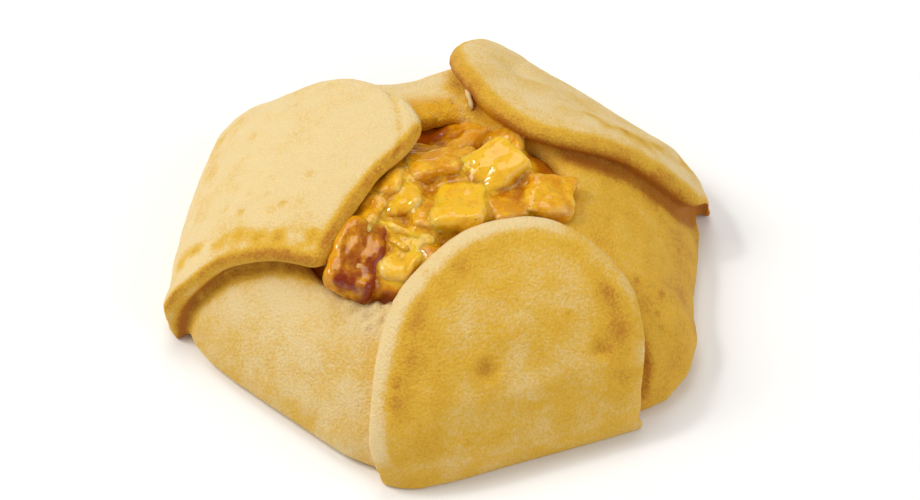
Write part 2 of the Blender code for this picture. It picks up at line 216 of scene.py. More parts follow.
# Dough wetted by syrup (mm): X, Y, Z, radius, amount
WET = ((3.0, 12.2, 23.6, 7.0, 0.8), (18.4, -12.0, 22.4, 3.6, 0.35), (12.5, 8.5, 25.0, 3.5, 0.6))
# Hollows left open in the syrup and painted with shade (mm): X, Y, Z, radius, depth
HOLLOWS = ((4.5, 7.6, 23.0, 5.0, 1.6),)
# Thin curl of dough at the back-right flap, and the cream-coloured drip beside it (mm)
CURL = ((12.4, 9.4, 23.6), (13.8, 7.6, 24.4), (15.2, 5.6, 24.9), (15.9, 3.6, 25.0), (15.2, 1.6, 24.8))
DRIP = ((10.4, 15.2, 24.7), (10.4, 13.6, 24.9), (10.2, 12.2, 24.4), (10.1, 11.2, 23.6))

# Strands: name, line, thickness (mm)
STRANDS = (("dough_curl", CURL, 0.6), ("dough_drip", DRIP, 0.5))
# Cinnamon specks and crumbs: radius (mm), flatness, share sunk in
SPECK_MIDDLE = (-1.0, -5.0)
SPECK_REACH = (18.0, 13.0)
SPECK_RADIUS = (0.06, 0.15)
SPECK_SHAPE = (0.6, 0.25)
CRUMB_RADIUS = (0.14, 0.34)
CRUMB_SHAPE = (0.6, 0.3)
CRUMB_REACH = 0.62

# Limits of the dough (mm), just inside the frame's crust
DOUGH_BOX = ((-45.05, -41.5, 0.0), (46.95, 40.4, 29.95))

# Finishes: plain sockets of the shaders, scales of the mottle, and relief (strength, depth)
DOUGH_SHADER = {
    "Subsurface Weight": 0.18,
    "Subsurface Radius": (1.0, 0.45, 0.10),
    "Subsurface Scale": 0.0018,
    "Specular IOR Level": 0.22,
}
FRUIT_SHADER = {
    "Subsurface Weight": 0.35,
    "Subsurface Radius": (1.0, 0.45, 0.04),
    "Subsurface Scale": 0.0018,
    "Coat Weight": 0.8,
    "Coat Roughness": 0.05,
    "Specular IOR Level": 0.0,
}
DOUGH_ROUGHNESS, WET_ROUGHNESS = 0.62, 0.14
DOUGH_MOTTLE, FRUIT_MOTTLE = (190.0, 2300.0), (520.0, 1500.0)
DOUGH_RELIEF = (0.9, 0.00038)
APPLE_RELIEF, SYRUP_RELIEF = (0.6, 0.0004), (0.5, 0.0004)
# Painted light: the pale glow painted on the apple pieces' proud edges
PAINTED_EDGE_GLOW = (0.92, 0.70, 0.24, 1.0)
CINNAMON = (0.30, 0.07, 0.008)

# Lamps: name, plan angle and rise (degrees), distance, size, power, colour
LAMPS = (
    ("key", 158.0, 48.0, 0.85, 0.36, 2.9, (1.0, 0.98, 0.95)),
    ("glint", 150.0, 56.0, 0.95, 0.10, 1.3, (1.0, 0.99, 0.97)),
    ("top", 80.0, 70.0, 0.95, 0.50, 2.5, (1.0, 0.99, 0.97)),
    ("front_fill", -46.0, 30.0, 1.1, 0.9, 4.0, (1.0, 0.98, 0.95)),
)
FLOOR_GREY = 0.93
SKY_STRENGTH = 0.38

# Camera: plan angle, elevation (degrees), distance, focal length, picture point of the pie's middle
CAMERA_PLAN = -109.8
CAMERA_RISE = 48.0
CAMERA_REACH = 0.520
FOCAL_PIXELS = 3224.0
PICTURE = (920.0, 500.0)
PIE_MIDDLE = (436.0, 275.5)
SENSOR = 36.0


class PieSizes(bpy.types.PropertyGroup):
    """Sizes and counts of the pie's finish."""

    grain: FloatProperty(
        name="Dough mesh", description="Spacing of the dough's mesh", default=0.00047,
        min=0.0003, subtype="DISTANCE", unit="LENGTH")
    apple_grain: FloatProperty(
        name="Apple mesh", description="Spacing of the apple's mesh", default=0.00036,
        min=0.0002, subtype="DISTANCE", unit="LENGTH")
    unevenness: FloatProperty(
        name="Unevenness", description="Height of the dough's soft waves", default=0.00028,
        subtype="DISTANCE", unit="LENGTH")
    specks: IntProperty(
        name="Cinnamon specks", description="Specks of cinnamon on the filling", default=130)
    crumbs: IntProperty(
        name="Crumbs", description="Crumbs on the torn edges", default=110)


class PieColours(bpy.types.PropertyGroup):
    """Colours of the pie's finish."""

    cream: FloatVectorProperty(
        name="Cream dough", description="Palest dough", subtype="COLOR", size=3,
        default=(0.84, 0.64, 0.31))
    gold: FloatVectorProperty(
        name="Golden dough", description="Baked dough", subtype="COLOR", size=3,
        default=(0.76, 0.44, 0.035))
    brown: FloatVectorProperty(
        name="Browned dough", description="Darkest dough", subtype="COLOR", size=3,
        default=(0.48, 0.17, 0.012))
    apple: FloatVectorProperty(
        name="Apple", description="Palest apple", subtype="COLOR", size=3,
        default=(0.84, 0.47, 0.018))
    amber: FloatVectorProperty(
        name="Syrup", description="Syrup and soaked apple", subtype="COLOR", size=3,
        default=(0.66, 0.26, 0.002))
    caramel: FloatVectorProperty(
        name="Caramel", description="Darkest apple", subtype="COLOR", size=3,
        default=(0.25, 0.026, 0.001))


def deselect():
    """Nothing selected, nothing active."""
    if bpy.context.mode != "OBJECT":
        bpy.ops.object.mode_set(mode="OBJECT")
    bpy.ops.object.select_all(action="DESELECT")


def activate(piece):
    """Only this piece selected and active."""
    deselect()
    piece.select_set(True)
    bpy.context.view_layer.objects.active = piece


def apply_modifier(piece, kind, **settings):
    """Add a modifier with its settings and apply it."""
    activate(piece)
    modifier = piece.modifiers.new(kind.lower(), kind)
    for name, value in settings.items():
        setattr(modifier, name, value)
    bpy.ops.object.modifier_apply(modifier=modifier.name)


def positions(mesh):
    """Vertex positions as an array."""
    flat = np.empty(len(mesh.vertices) * 3)
    mesh.vertices.foreach_get("co", flat)
    return flat.reshape(-1, 3)


def normals(mesh):
    """Vertex normals as an array."""
    flat = np.empty(len(mesh.vertices) * 3)
    mesh.vertex_normals.foreach_get("vector", flat)
    return flat.reshape(-1, 3)


def move_to(mesh, places):
    """Set all vertex positions."""
    mesh.vertices.foreach_set("co", np.ascontiguousarray(places, dtype=np.float32).ravel())
    mesh.update()


def edge_pairs(mesh):
    """The two ends of each edge."""
    flat = np.empty(len(mesh.edges) * 2, dtype=np.int64)
    mesh.edges.foreach_get("vertices", flat)
    return flat.reshape(-1, 2)


def smoothed(values, pairs, rounds):
    """Values averaged over the mesh's edges a number of times."""
    count = len(values)
    degree = np.bincount(pairs.ravel(), minlength=count).clip(1)
    field = values.copy()
    for _ in range(rounds):
        total = np.zeros_like(field)
        np.add.at(total, pairs[:, 0], field[pairs[:, 1]])
        np.add.at(total, pairs[:, 1], field[pairs[:, 0]])
        mean = total / (degree if field.ndim == 1 else degree[:, None])
        field = 0.5 * field + 0.5 * mean
    return field


def rounded(values, pairs, rounds):
    """Smoothed places that keep their larger form."""
    soft = smoothed(values, pairs, rounds)
    return soft + smoothed(values - soft, pairs, rounds)


def near(places, row):
    """Distance of each place from a point in mm, as a share of the row's radius."""
    return np.linalg.norm(places - np.array(row[:3]) * MM, axis=1) / (row[3] * MM)


def cloud(places, size, seed):
    """Soft noise from -1 to 1 with lumps of a given size."""
    shift = Vector((seed * 7.3, seed * 3.1, seed * 5.7))
    return np.array([noise.noise(Vector(place) / size + shift) for place in places])


def ramp(values, low, high):
    """Smooth step from 0 at low to 1 at high."""
    share = np.clip((values - low) / (high - low), 0.0, 1.0)
    return share * share * (3.0 - 2.0 * share)


def store(mesh, name, values):
    """Keep one number for each vertex on the mesh."""
    layer = mesh.attributes.new(name, "FLOAT", "POINT")
    layer.data.foreach_set("value", np.ascontiguousarray(values, dtype=np.float32))


def kept(mesh, name):
    """The number kept on each vertex."""
    values = np.empty(len(mesh.vertices))
    mesh.attributes[name].data.foreach_get("value", values)
    return values


def keep(piece):
    """The piece moves with the pie."""
    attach(piece, "root")
    return piece


def frame_copy(node, name):
    """A merged copy of one of the frame's solids, free to be shaped."""
    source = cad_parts[node]
    piece = bpy.data.objects.new(name, source.data.copy())
    bpy.context.scene.collection.objects.link(piece)
    piece.data.materials.clear()
    activate(piece)
    bpy.ops.object.mode_set(mode="EDIT")
    bpy.ops.mesh.select_all(action="SELECT")
    bpy.ops.mesh.remove_doubles(threshold=0.00002)
    bpy.ops.object.mode_set(mode="OBJECT")
    return piece


def hexagon_radius(angles, sharpness):
    """Plan radius of the rounded hexagon at each angle."""
    total = np.zeros_like(angles)
    for side, apothem in enumerate(SIDE_APOTHEMS):
        reach = np.cos(angles - FRONT - side * SIDE_ANGLE) / apothem
        total += np.maximum(0.0, reach) ** sharpness
    return total ** (-1.0 / sharpness)


def dome_level(places):
    """1 on the plain dome, less inside it and more outside, with each place's share up the dome."""
    angles = np.arctan2(places[:, 1], places[:, 0])
    radius = np.hypot(places[:, 0], places[:, 1])
    high = np.clip(places[:, 2] / DOME_HEIGHT, 0.0, None) ** HEIGHT_POWER
    share = np.arcsin(np.sqrt(np.clip(high, 0.0, 1.0))) / (math.pi / 2)
    foot_shade = hexagon_radius(angles, CORNER_SHARPNESS[0])
    top = hexagon_radius(angles, CORNER_SHARPNESS[1])
    edge = foot_shade + (top - foot_shade) * share
    return (radius / edge) ** PLAN_POWER + high, angles, share


def height_over_dome(places):
    """Distance of each place outwards from the dough's lower layer."""
    level, angles, share = dome_level(places)
    step = 0.0001
    slope = np.stack([
        (dome_level(places + step * axis)[0] - level) / step for axis in np.eye(3)
    ], axis=1)
    height = (level - 1.0) / np.linalg.norm(slope, axis=1).clip(1e-6)
    turn = np.degrees(angles - FRONT) % 360.0
    for degrees, middle, spread, rise, bulge in SWELLINGS:
        away = (turn - degrees + 180.0) % 360.0 - 180.0
        height = height - bulge * np.exp(-(away / spread) ** 2 - ((share - middle) / rise) ** 2)
    return height, turn


def near_line(places, line):
    """Distance of each place from a line through points given in mm."""
    points = np.array(line) * MM
    best = np.full(len(places), 1.0)
    for start, end in zip(points, points[1:]):
        arm = end - start
        along = np.clip(((places - start) @ arm) / (arm @ arm), 0.0, 1.0)
        gap = np.linalg.norm(places - start - along[:, None] * arm, axis=1)
        best = np.minimum(best, gap)
    return best


def node_group(name, inputs, outputs):
    """An empty shader node group with named sockets, and its two ends."""
    group = bpy.data.node_groups.new(name, "ShaderNodeTree")
    for label, kind, default in inputs:
        socket = group.interface.new_socket(name=label, in_out="INPUT", socket_type=kind)
        if default is not None:
            socket.default_value = default
    for label, kind in outputs:
        group.interface.new_socket(name=label, in_out="OUTPUT", socket_type=kind)
    return group, group.nodes.new("NodeGroupInput"), group.nodes.new("NodeGroupOutput")


def mottle_group():
    """Soft patches and fine speckle, shared by dough and apple."""
    found = bpy.data.node_groups.get("Mottle")
    if found:
        return found
    group, start, end = node_group(
        "Mottle",
        (("Patch Scale", "NodeSocketFloat", 120.0), ("Speckle Scale", "NodeSocketFloat", 1400.0)),
        (("Patches", "NodeSocketFloat"), ("Speckle", "NodeSocketFloat"), ("Relief", "NodeSocketFloat")),
    )
    nodes, links = group.nodes, group.links
    place = nodes.new("ShaderNodeTexCoord")
    patches = nodes.new("ShaderNodeTexNoise")
    patches.inputs["Detail"].default_value = 4.0
    patches.inputs["Roughness"].default_value = 0.6
    speckle = nodes.new("ShaderNodeTexNoise")
    speckle.inputs["Detail"].default_value = 3.0
    speckle.inputs["Roughness"].default_value = 0.7
    pores = nodes.new("ShaderNodeTexVoronoi")
    join = nodes.new("ShaderNodeMath")
    join.operation = "MULTIPLY_ADD"
    join.inputs[1].default_value = 0.35
    links.new(place.outputs["Object"], patches.inputs["Vector"])
    links.new(place.outputs["Object"], speckle.inputs["Vector"])
    links.new(place.outputs["Object"], pores.inputs["Vector"])
    links.new(start.outputs["Patch Scale"], patches.inputs["Scale"])
    links.new(start.outputs["Speckle Scale"], speckle.inputs["Scale"])
    links.new(start.outputs["Speckle Scale"], pores.inputs["Scale"])
    links.new(patches.outputs["Fac"], end.inputs["Patches"])
    links.new(speckle.outputs["Fac"], end.inputs["Speckle"])
    links.new(pores.outputs["Distance"], join.inputs[0])
    links.new(speckle.outputs["Fac"], join.inputs[2])
    links.new(join.outputs["Value"], end.inputs["Relief"])
    return group


def mix_colour(tree, factor, first, second):
    """A colour mix whose three inputs are sockets or fixed colours."""
    mix = tree.nodes.new("ShaderNodeMix")
    mix.data_type = "RGBA"
    for socket, value in ((mix.inputs["Factor"], factor), (mix.inputs["A"], first),
                          (mix.inputs["B"], second)):
        if isinstance(value, bpy.types.NodeSocket):
            tree.links.new(value, socket)
        else:
            socket.default_value = value
    return mix.outputs["Result"]


def maths(tree, operation, first, second):
    """A maths node whose inputs are sockets or numbers."""
    node = tree.nodes.new("ShaderNodeMath")
    node.operation = operation
    for socket, value in ((node.inputs[0], first), (node.inputs[1], second)):
        if isinstance(value, bpy.types.NodeSocket):
            tree.links.new(value, socket)
        else:
            socket.default_value = value
    return node.outputs["Value"]


def stretch(tree, value, low, high, out_low=0.0, out_high=1.0):
    """A clamped, smooth change of range."""
    node = tree.nodes.new("ShaderNodeMapRange")
    node.interpolation_type = "SMOOTHSTEP"
    tree.links.new(value, node.inputs["Value"])
    node.inputs["From Min"].default_value = low
    node.inputs["From Max"].default_value = high
    node.inputs["To Min"].default_value = out_low
    node.inputs["To Max"].default_value = out_high
    return node.outputs["Result"]


def attribute(tree, name):
    """A number kept on the mesh."""
    node = tree.nodes.new("ShaderNodeAttribute")
    node.attribute_name = name
    return node.outputs["Fac"]


def mottle(tree, patch, speckle):
    """The mottle group placed in a material, with its two scales."""
    node = tree.nodes.new("ShaderNodeGroup")
    node.node_tree = mottle_group()
    node.inputs["Patch Scale"].default_value = patch
    node.inputs["Speckle Scale"].default_value = speckle
    return node.outputs


def new_material(name, roughness):
    """A material with a Principled shader, its tree and the shader."""
    made = bpy.data.materials.new(name)
    made.use_nodes = True
    shader = made.node_tree.nodes["Principled BSDF"]
    shader.inputs["Roughness"].default_value = roughness
    return made, made.node_tree, shader


def bump(tree, shader, height, strength, distance):
    """Fine relief on a shader's normal."""
    node = tree.nodes.new("ShaderNodeBump")
    node.inputs["Strength"].default_value = strength
    node.inputs["Distance"].default_value = distance
    tree.links.new(height, node.inputs["Height"])
    tree.links.new(node.outputs["Normal"], shader.inputs["Normal"])


def rgba(colour):
    """A four-part colour."""
    return (colour[0], colour[1], colour[2], 1.0)


def set_plain(shader, values):
    """Give a shader's sockets their plain values."""
    for name, value in values.items():
        shader.inputs[name].default_value = value


def tinted(colour, red, green, blue):
    """A colour with each part scaled."""
    return (colour[0] * red, colour[1] * green, colour[2] * blue, 1.0)


def dough_material(colours):
    """Baked dough: cream to gold to brown by the baking and painted light and shade kept on the mesh,
    with fine pores.
    """
    made, tree, shader = new_material("baked_dough_finish", DOUGH_ROUGHNESS)
    marks = mottle(tree, *DOUGH_MOTTLE)
    bake = attribute(tree, "bake")
    patches = stretch(tree, marks["Patches"], 0.28, 0.72, -0.13, 0.13)
    speckle = stretch(tree, marks["Speckle"], 0.30, 0.72, -0.14, 0.14)
    # The kept baking colour carries the painted light and shade as well
    baked = maths(tree, "ADD", maths(tree, "ADD", bake, patches), speckle)
    gold = stretch(tree, baked, 0.0, 0.60)
    brown = stretch(tree, baked, 0.50, 1.25)
    warm = mix_colour(tree, gold, rgba(colours.cream), rgba(colours.gold))
    done = mix_colour(tree, brown, warm, rgba(colours.brown))
    wet = attribute(tree, "wet")
    sauce = tinted(colours.amber, 1.12, 1.45, 6.0)
    syrup = mix_colour(tree, stretch(tree, wet, 0.0, 0.8), done, sauce)
    soaked = tinted(colours.amber, 0.45, 0.25, 0.2)
    deep = mix_colour(tree, attribute(tree, "soaked"), syrup, soaked)
    tree.links.new(deep, shader.inputs["Base Color"])
    roughness = stretch(tree, wet, 0.1, 0.7, DOUGH_ROUGHNESS, WET_ROUGHNESS)
    tree.links.new(roughness, shader.inputs["Roughness"])
    set_plain(shader, DOUGH_SHADER)
    bump(tree, shader, marks["Relief"], *DOUGH_RELIEF)
    return made


def fruit_material(name, colours, relief):
    """Soft glazed fruit: pale, amber or caramel, deep where syrup is thick, with painted shade and
    painted edge glow.
    """
    made, tree, shader = new_material(name, 0.3)
    marks = mottle(tree, *FRUIT_MOTTLE)
    blotch = stretch(tree, marks["Patches"], 0.3, 0.7, -0.25, 0.25)
    grain = stretch(tree, marks["Speckle"], 0.3, 0.7, -0.14, 0.14)
    uneven = maths(tree, "ADD", blotch, grain)
    ripe = maths(tree, "ADD", attribute(tree, "ripe"), uneven)
    char_and_shade = maths(tree, "ADD", attribute(tree, "char_and_shade"), maths(tree, "MULTIPLY", uneven, 0.4))
    deep = maths(tree, "ADD", attribute(tree, "deep"), maths(tree, "MULTIPLY", uneven, 0.5))
    fruit = mix_colour(tree, stretch(tree, ripe, 0.0, 1.0), rgba(colours.apple), rgba(colours.amber))
    # Deep colour for thick syrup and for the painted shade in creases, hollows and undersides
    dark = tinted(colours.amber, 0.50, 0.22, 0.0)
    thick = mix_colour(tree, stretch(tree, deep, 0.2, 1.05), fruit, dark)
    done = mix_colour(tree, stretch(tree, char_and_shade, 0.15, 1.0), thick, rgba(colours.caramel))
    # Painted glow on the proud edges
    rim = mix_colour(tree, attribute(tree, "pale"), done, PAINTED_EDGE_GLOW)
    tree.links.new(rim, shader.inputs["Base Color"])
    set_plain(shader, FRUIT_SHADER)
    bump(tree, shader, marks["Relief"], *relief)
    return made


def plain_material(name, colour, roughness, patch, spread):
    """A small piece's finish: one colour, a little mottled."""
    made, tree, shader = new_material(name, roughness)
    marks = mottle(tree, patch, 1800.0)
    darker = tuple(part * (1.0 - spread) for part in colour[:3]) + (1.0,)
    tint = mix_colour(tree, stretch(tree, marks["Patches"], 0.3, 0.7), darker, rgba(colour))
    tree.links.new(tint, shader.inputs["Base Color"])
    bump(tree, shader, marks["Relief"], 0.2, 0.0001)
    return made


class PIE_OT_dough(bpy.types.Operator):
    """Bake the dough round the frame's crust"""

    bl_idname = "pie.dough"
    bl_label = "Dough"

    def execute(self, context):
        sizes = context.scene.pie_sizes
        piece = frame_copy("crust", "dough")
        apply_modifier(piece, "REMESH", mode="VOXEL", voxel_size=sizes.grain)
        mesh = piece.data
        pairs = edge_pairs(mesh)
        places = rounded(positions(mesh), pairs, DOUGH_ROUNDS)
        move_to(mesh, places)
        height, turn = height_over_dome(places)
        outward = smoothed(normals(mesh), pairs, NORMAL_ROUNDS)
        rim_gap = self.rim_distance(places, height, pairs)
        places = self.shape(places, outward, sizes, rim_gap)
        move_to(mesh, places)
        self.bake(mesh, places, outward, height, turn, rim_gap, pairs)
        activate(piece)
        bpy.ops.object.shade_smooth()
        mesh.materials.append(dough_material(context.scene.pie_colours))
        keep(piece)
        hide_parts("crust")
        return {"FINISHED"}

    def rim_distance(self, places, height, pairs):
        """Distance from the flaps' rims along the dough, positive on the flaps, in mm."""
        on_flap = height > FLAP_SHARE * DOUGH
        crossing = on_flap[pairs[:, 0]] != on_flap[pairs[:, 1]]
        rim = np.unique(pairs[crossing].ravel())
        tree = KDTree(len(rim))
        for index, vertex in enumerate(rim):
            tree.insert(places[vertex], index)
        tree.balance()
        gap = np.array([tree.find(place)[2] for place in places]) / MM
        return np.where(on_flap, gap, -gap)

    def shape(self, places, outward, sizes, rim_gap):
        """Soft waves, dents, pits, folds and torn edges."""
        push = sum(share * sizes.unevenness * cloud(places, size, seed) for size, seed, share in WAVES)
        for row in DENTS:
            push -= row[4] * MM * np.exp(-near(places, row) ** 2)
        lip, lip_place, lip_sharpness = PIT_LIP
        for row in PITS:
            away = near(places, row)
            hole = np.exp(-(away * PIT_SHARPNESS) ** 2)
            push -= row[4] * MM * (hole - lip * np.exp(-((away - lip_place) * lip_sharpness) ** 2))
        for line, depth, width, _, _ in CREASES:
            push -= depth * MM * np.exp(-(near_line(places, line) / (width * MM)) ** 2)
        crumble = self.torn(places, rim_gap)
        for size, seed, rise in TORN_RELIEF:
            push += rise * crumble * cloud(places, size, seed)
        push *= ramp(places[:, 2], 0.0002, 0.003)
        low, high = np.array(DOUGH_BOX) * MM
        return np.clip(places + outward * push[:, None], low, high)

    def torn(self, places, rim_gap):
        """1 in the middle of each torn place under the flaps' rims, 0 outside them."""
        crumble = np.zeros(len(places))
        for row in TORN:
            crumble = np.maximum(crumble, 1.0 - ramp(near(places, row), 0.35, 1.0))
        return crumble * (rim_gap < 0.5)

    def bake(self, mesh, places, outward, height, turn, rim_gap, pairs):
        """How far each place has baked, with light and shade painted in, and where syrup wets it."""
        in_front = (turn < FRONT_ENDS[0]) | (turn > FRONT_ENDS[1])
        side = np.where(in_front, FRONT_FLAP, np.where(turn < BACK_END, BACK_FLAP, LEFT_FLAP))
        bake = self.wall_bake_and_shade(outward, height, turn)
        bake = self.flap_bake_and_light(bake, places, height, rim_gap, side)
        bake += self.edge_bake_and_shade(places, outward, height, rim_gap, side)
        bake += self.mark_bake_and_shade(places)
        crumble = self.torn(places, rim_gap)
        bake = bake * (1.0 - 0.5 * crumble) + 0.25 * crumble * cloud(places, 0.0011, 14)
        wet, soaked = self.wetness(places, rim_gap)
        store(mesh, "bake", smoothed(np.clip(bake, *BAKE_AND_SHADE_LIMITS), pairs, 1))
        store(mesh, "wet", smoothed(wet, pairs, 2))
        store(mesh, "soaked", smoothed(soaked, pairs, 2))

    def wall_bake_and_shade(self, outward, height, turn):
        """Bake of the walls with painted shade: it blends from side to side, deeper on walls turned from
        the light.
        """
        base = np.zeros(len(turn))
        weight = np.zeros(len(turn))
        for side, value in enumerate(WALL_BAKES_AND_SHADE):
            away = (turn - side * 60.0 + 180.0) % 360.0 - 180.0
            share = np.exp(-(away / WALL_BLEND) ** 2)
            base += share * value
            weight += share
        # Painted shade: a deeper colour where the wall turns away from the light
        away_from_light = -(outward @ np.array(KEY_LIGHT_DIRECTION))
        on_wall = 1.0 - ramp(height, 0.001, 0.003)
        return base / weight.clip(1e-6) + 0.16 * ramp(away_from_light, -0.35, 0.55) * on_wall

    def flap_bake_and_light(self, bake, places, height, rim_gap, side):
        """Bake of the flaps with painted light and shade: face, rim, and the band inside the rim."""
        raised = ramp(height, 0.0004, 0.0014)
        for flap, face, rim, width, band, middle, spread in FLAP_BAKES_AND_LIGHT:
            here = raised * (side == flap)
            on_rim = (1.0 - ramp(rim_gap, width - 0.9, width + 0.9)) * ramp(places[:, 2], 0.003, 0.009)
            inner = np.exp(-((rim_gap - middle) / spread) ** 2) * ramp(places[:, 2], 0.006, 0.014)
            value = face + (rim - face) * on_rim + band * inner
            if flap == FRONT_FLAP:
                # Painted shade on the front flap's right rim, which faces away from the light
                value += 0.42 * on_rim * ramp(places[:, 0], 0.007, 0.017)
            bake = bake * (1.0 - here) + value * here
        return bake

    def edge_bake_and_shade(self, places, outward, height, rim_gap, side):
        """Left flap's lip, browned and painted with shade; painted shade in the flaps' seams and the
        left walls' foot.
        """
        # The lip is partly browning, partly painted shade on its side turned from the light; seam and
        # foot are painted shade
        lip = np.exp(-((rim_gap - 1.9) / 1.3) ** 2) * ramp(-outward[:, 1], 0.0, 0.35)
        seam_shade = np.exp(-((rim_gap + 1.4) / 1.2) ** 2) * (side != FRONT_FLAP)
        foot_shade = (1.0 - ramp(places[:, 2], 0.002, 0.011)) * (height < 0.5 * DOUGH)
        return seam_shade + (0.85 * lip + 0.22 * foot_shade) * (side == LEFT_FLAP)

    def mark_bake_and_shade(self, places):
        """Streaks, uneven patches, painted shade along the creases, and darker pits."""
        bake = np.zeros(len(places))
        for line, spread, amount in STREAKS:
            streak = np.exp(-(near_line(places, line) / (spread * MM)) ** 2)
            bake += amount * streak * np.clip(0.75 + 0.9 * cloud(places, 0.0023, 12), 0.0, 1.4)
        for size, seed, amount in BAKE_CLOUDS:
            bake += amount * cloud(places, size, seed)
        # Painted shade along the creases
        for line, _, _, amount, width in CREASES:
            bake += amount * np.exp(-(near_line(places, line) / (width * MM)) ** 2)
        for row in PITS:
            bake += PIT_DARKENING[0] * np.exp(-(near(places, row) * PIT_DARKENING[1]) ** 2)
        return bake

    def wetness(self, places, rim_gap):
        """Where syrup wets the dough, and where the dough is soaked dark."""
        away = (places[:, :2] / MM - np.array(OPENING)) / np.array(WET_REACH)
        reach = np.linalg.norm(away, axis=1)
        edge = 0.12 * cloud(places, 0.0035, 8) + 0.07 * cloud(places, 0.0013, 9)
        inside = (rim_gap < -1.5) & (places[:, 2] > 0.012)
        wet = (1.0 - ramp(reach + edge, 0.86, 1.04)) * inside
        soaked = (1.0 - ramp(reach + edge, 0.62, 0.90)) * inside
        for row in WET:
            patch = 1.0 - ramp(near(places, row) + 0.25 * cloud(places, 0.003, 18), 0.5, 1.1)
            wet = np.maximum(wet, row[4] * patch * (rim_gap < 0.3))
        return wet, soaked


class PIE_OT_apple(bpy.types.Operator):
    """Cut the apple pieces and lay them in the opening"""

    bl_idname = "pie.apple"
    bl_label = "Apple pieces"

    def execute(self, context):
        sizes = context.scene.pie_sizes
        pieces = [self.cut(index, row, sizes) for index, row in enumerate(APPLE)]
        deselect()
        for piece in pieces:
            piece.select_set(True)
        bpy.context.view_layer.objects.active = pieces[0]
        bpy.ops.object.join()
        joined = pieces[0]
        joined.name = joined.data.name = "apple_pieces"
        joined.data.materials.clear()
        joined.data.materials.append(
            fruit_material("glazed_apple_finish", context.scene.pie_colours, APPLE_RELIEF))
        keep(joined)
        return {"FINISHED"}

    def cut(self, index, row, sizes):
        """One piece: a cube, cut unevenly, softened by cooking and wrinkled."""
        across, along, high, length, width, thick, turn, tilt, lean, wedge, ripe, char_and_shade = row
        draw = random.Random(40 + index)
        deselect()
        bpy.ops.mesh.primitive_cube_add(size=1.0)
        piece = bpy.context.object
        piece.name = f"apple_{index:02d}"
        corners = positions(piece.data)
        corners[:, 2] *= np.where(corners[:, 1] > 0, wedge, 1.0)
        corners *= np.array((length, width, thick)) * MM
        error = [[draw.uniform(-CUT_ERROR, CUT_ERROR) for _ in range(3)] for _ in range(8)]
        move_to(piece.data, corners * (1.0 + np.array(error)))
        apply_modifier(piece, "BEVEL", width=APPLE_BEVEL, segments=3)
        apply_modifier(piece, "REMESH", mode="VOXEL", voxel_size=sizes.apple_grain)
        mesh = piece.data
        pairs = edge_pairs(mesh)
        places = smoothed(positions(mesh), pairs, APPLE_ROUNDS)
        move_to(mesh, places)
        push = sum(rise * cloud(places, size, seed + index) for size, rise, seed in APPLE_LUMPS)
        size, rise, seed = APPLE_WRINKLES
        push += rise * np.abs(cloud(places * np.array(FIBRE_STRETCH), size, seed + index))
        places = places + normals(mesh) * push[:, None]
        spin = Euler((math.radians(tilt), math.radians(lean), math.radians(turn))).to_matrix()
        centre = np.array((across, along, high)) * MM
        places = places @ np.array(spin).T + centre
        move_to(mesh, places)
        facing = normals(mesh)
        store(mesh, "ripe", ripe + 0.30 * cloud(places, 0.003, 90 + index))
        # Painted shade: the browned piece is painted darker on faces turned from the light; its end is
        # charred
        shade = ramp(facing @ np.array(SHADED_FACE_DIRECTION), -0.2, 0.7)
        lower = ((places - centre) @ np.array(BROWNED_END)) / (0.5 * length * MM)
        browned_and_shaded = 0.05 + 0.75 * shade + 0.35 * lower + 0.30 * cloud(places, 0.002, 95)
        store(mesh, "char_and_shade", np.clip(char_and_shade * browned_and_shaded, 0.0, 1.0))
        # Painted shade on the pieces' undersides
        store(mesh, "deep", 0.25 * ramp(-facing[:, 2], -0.35, 0.5))
        # Painted light: a pale glow on the pieces' proud edges
        proud = np.sum((places - smoothed(places, pairs, 40)) * facing, axis=1) / MM
        streaky = 0.30 + 0.6 * cloud(places, 0.0021, 98)
        store(mesh, "pale", (1.0 - char_and_shade) * ramp(proud, 0.20, 0.65) * streaky)
        activate(piece)
        bpy.ops.object.shade_smooth()
        return piece


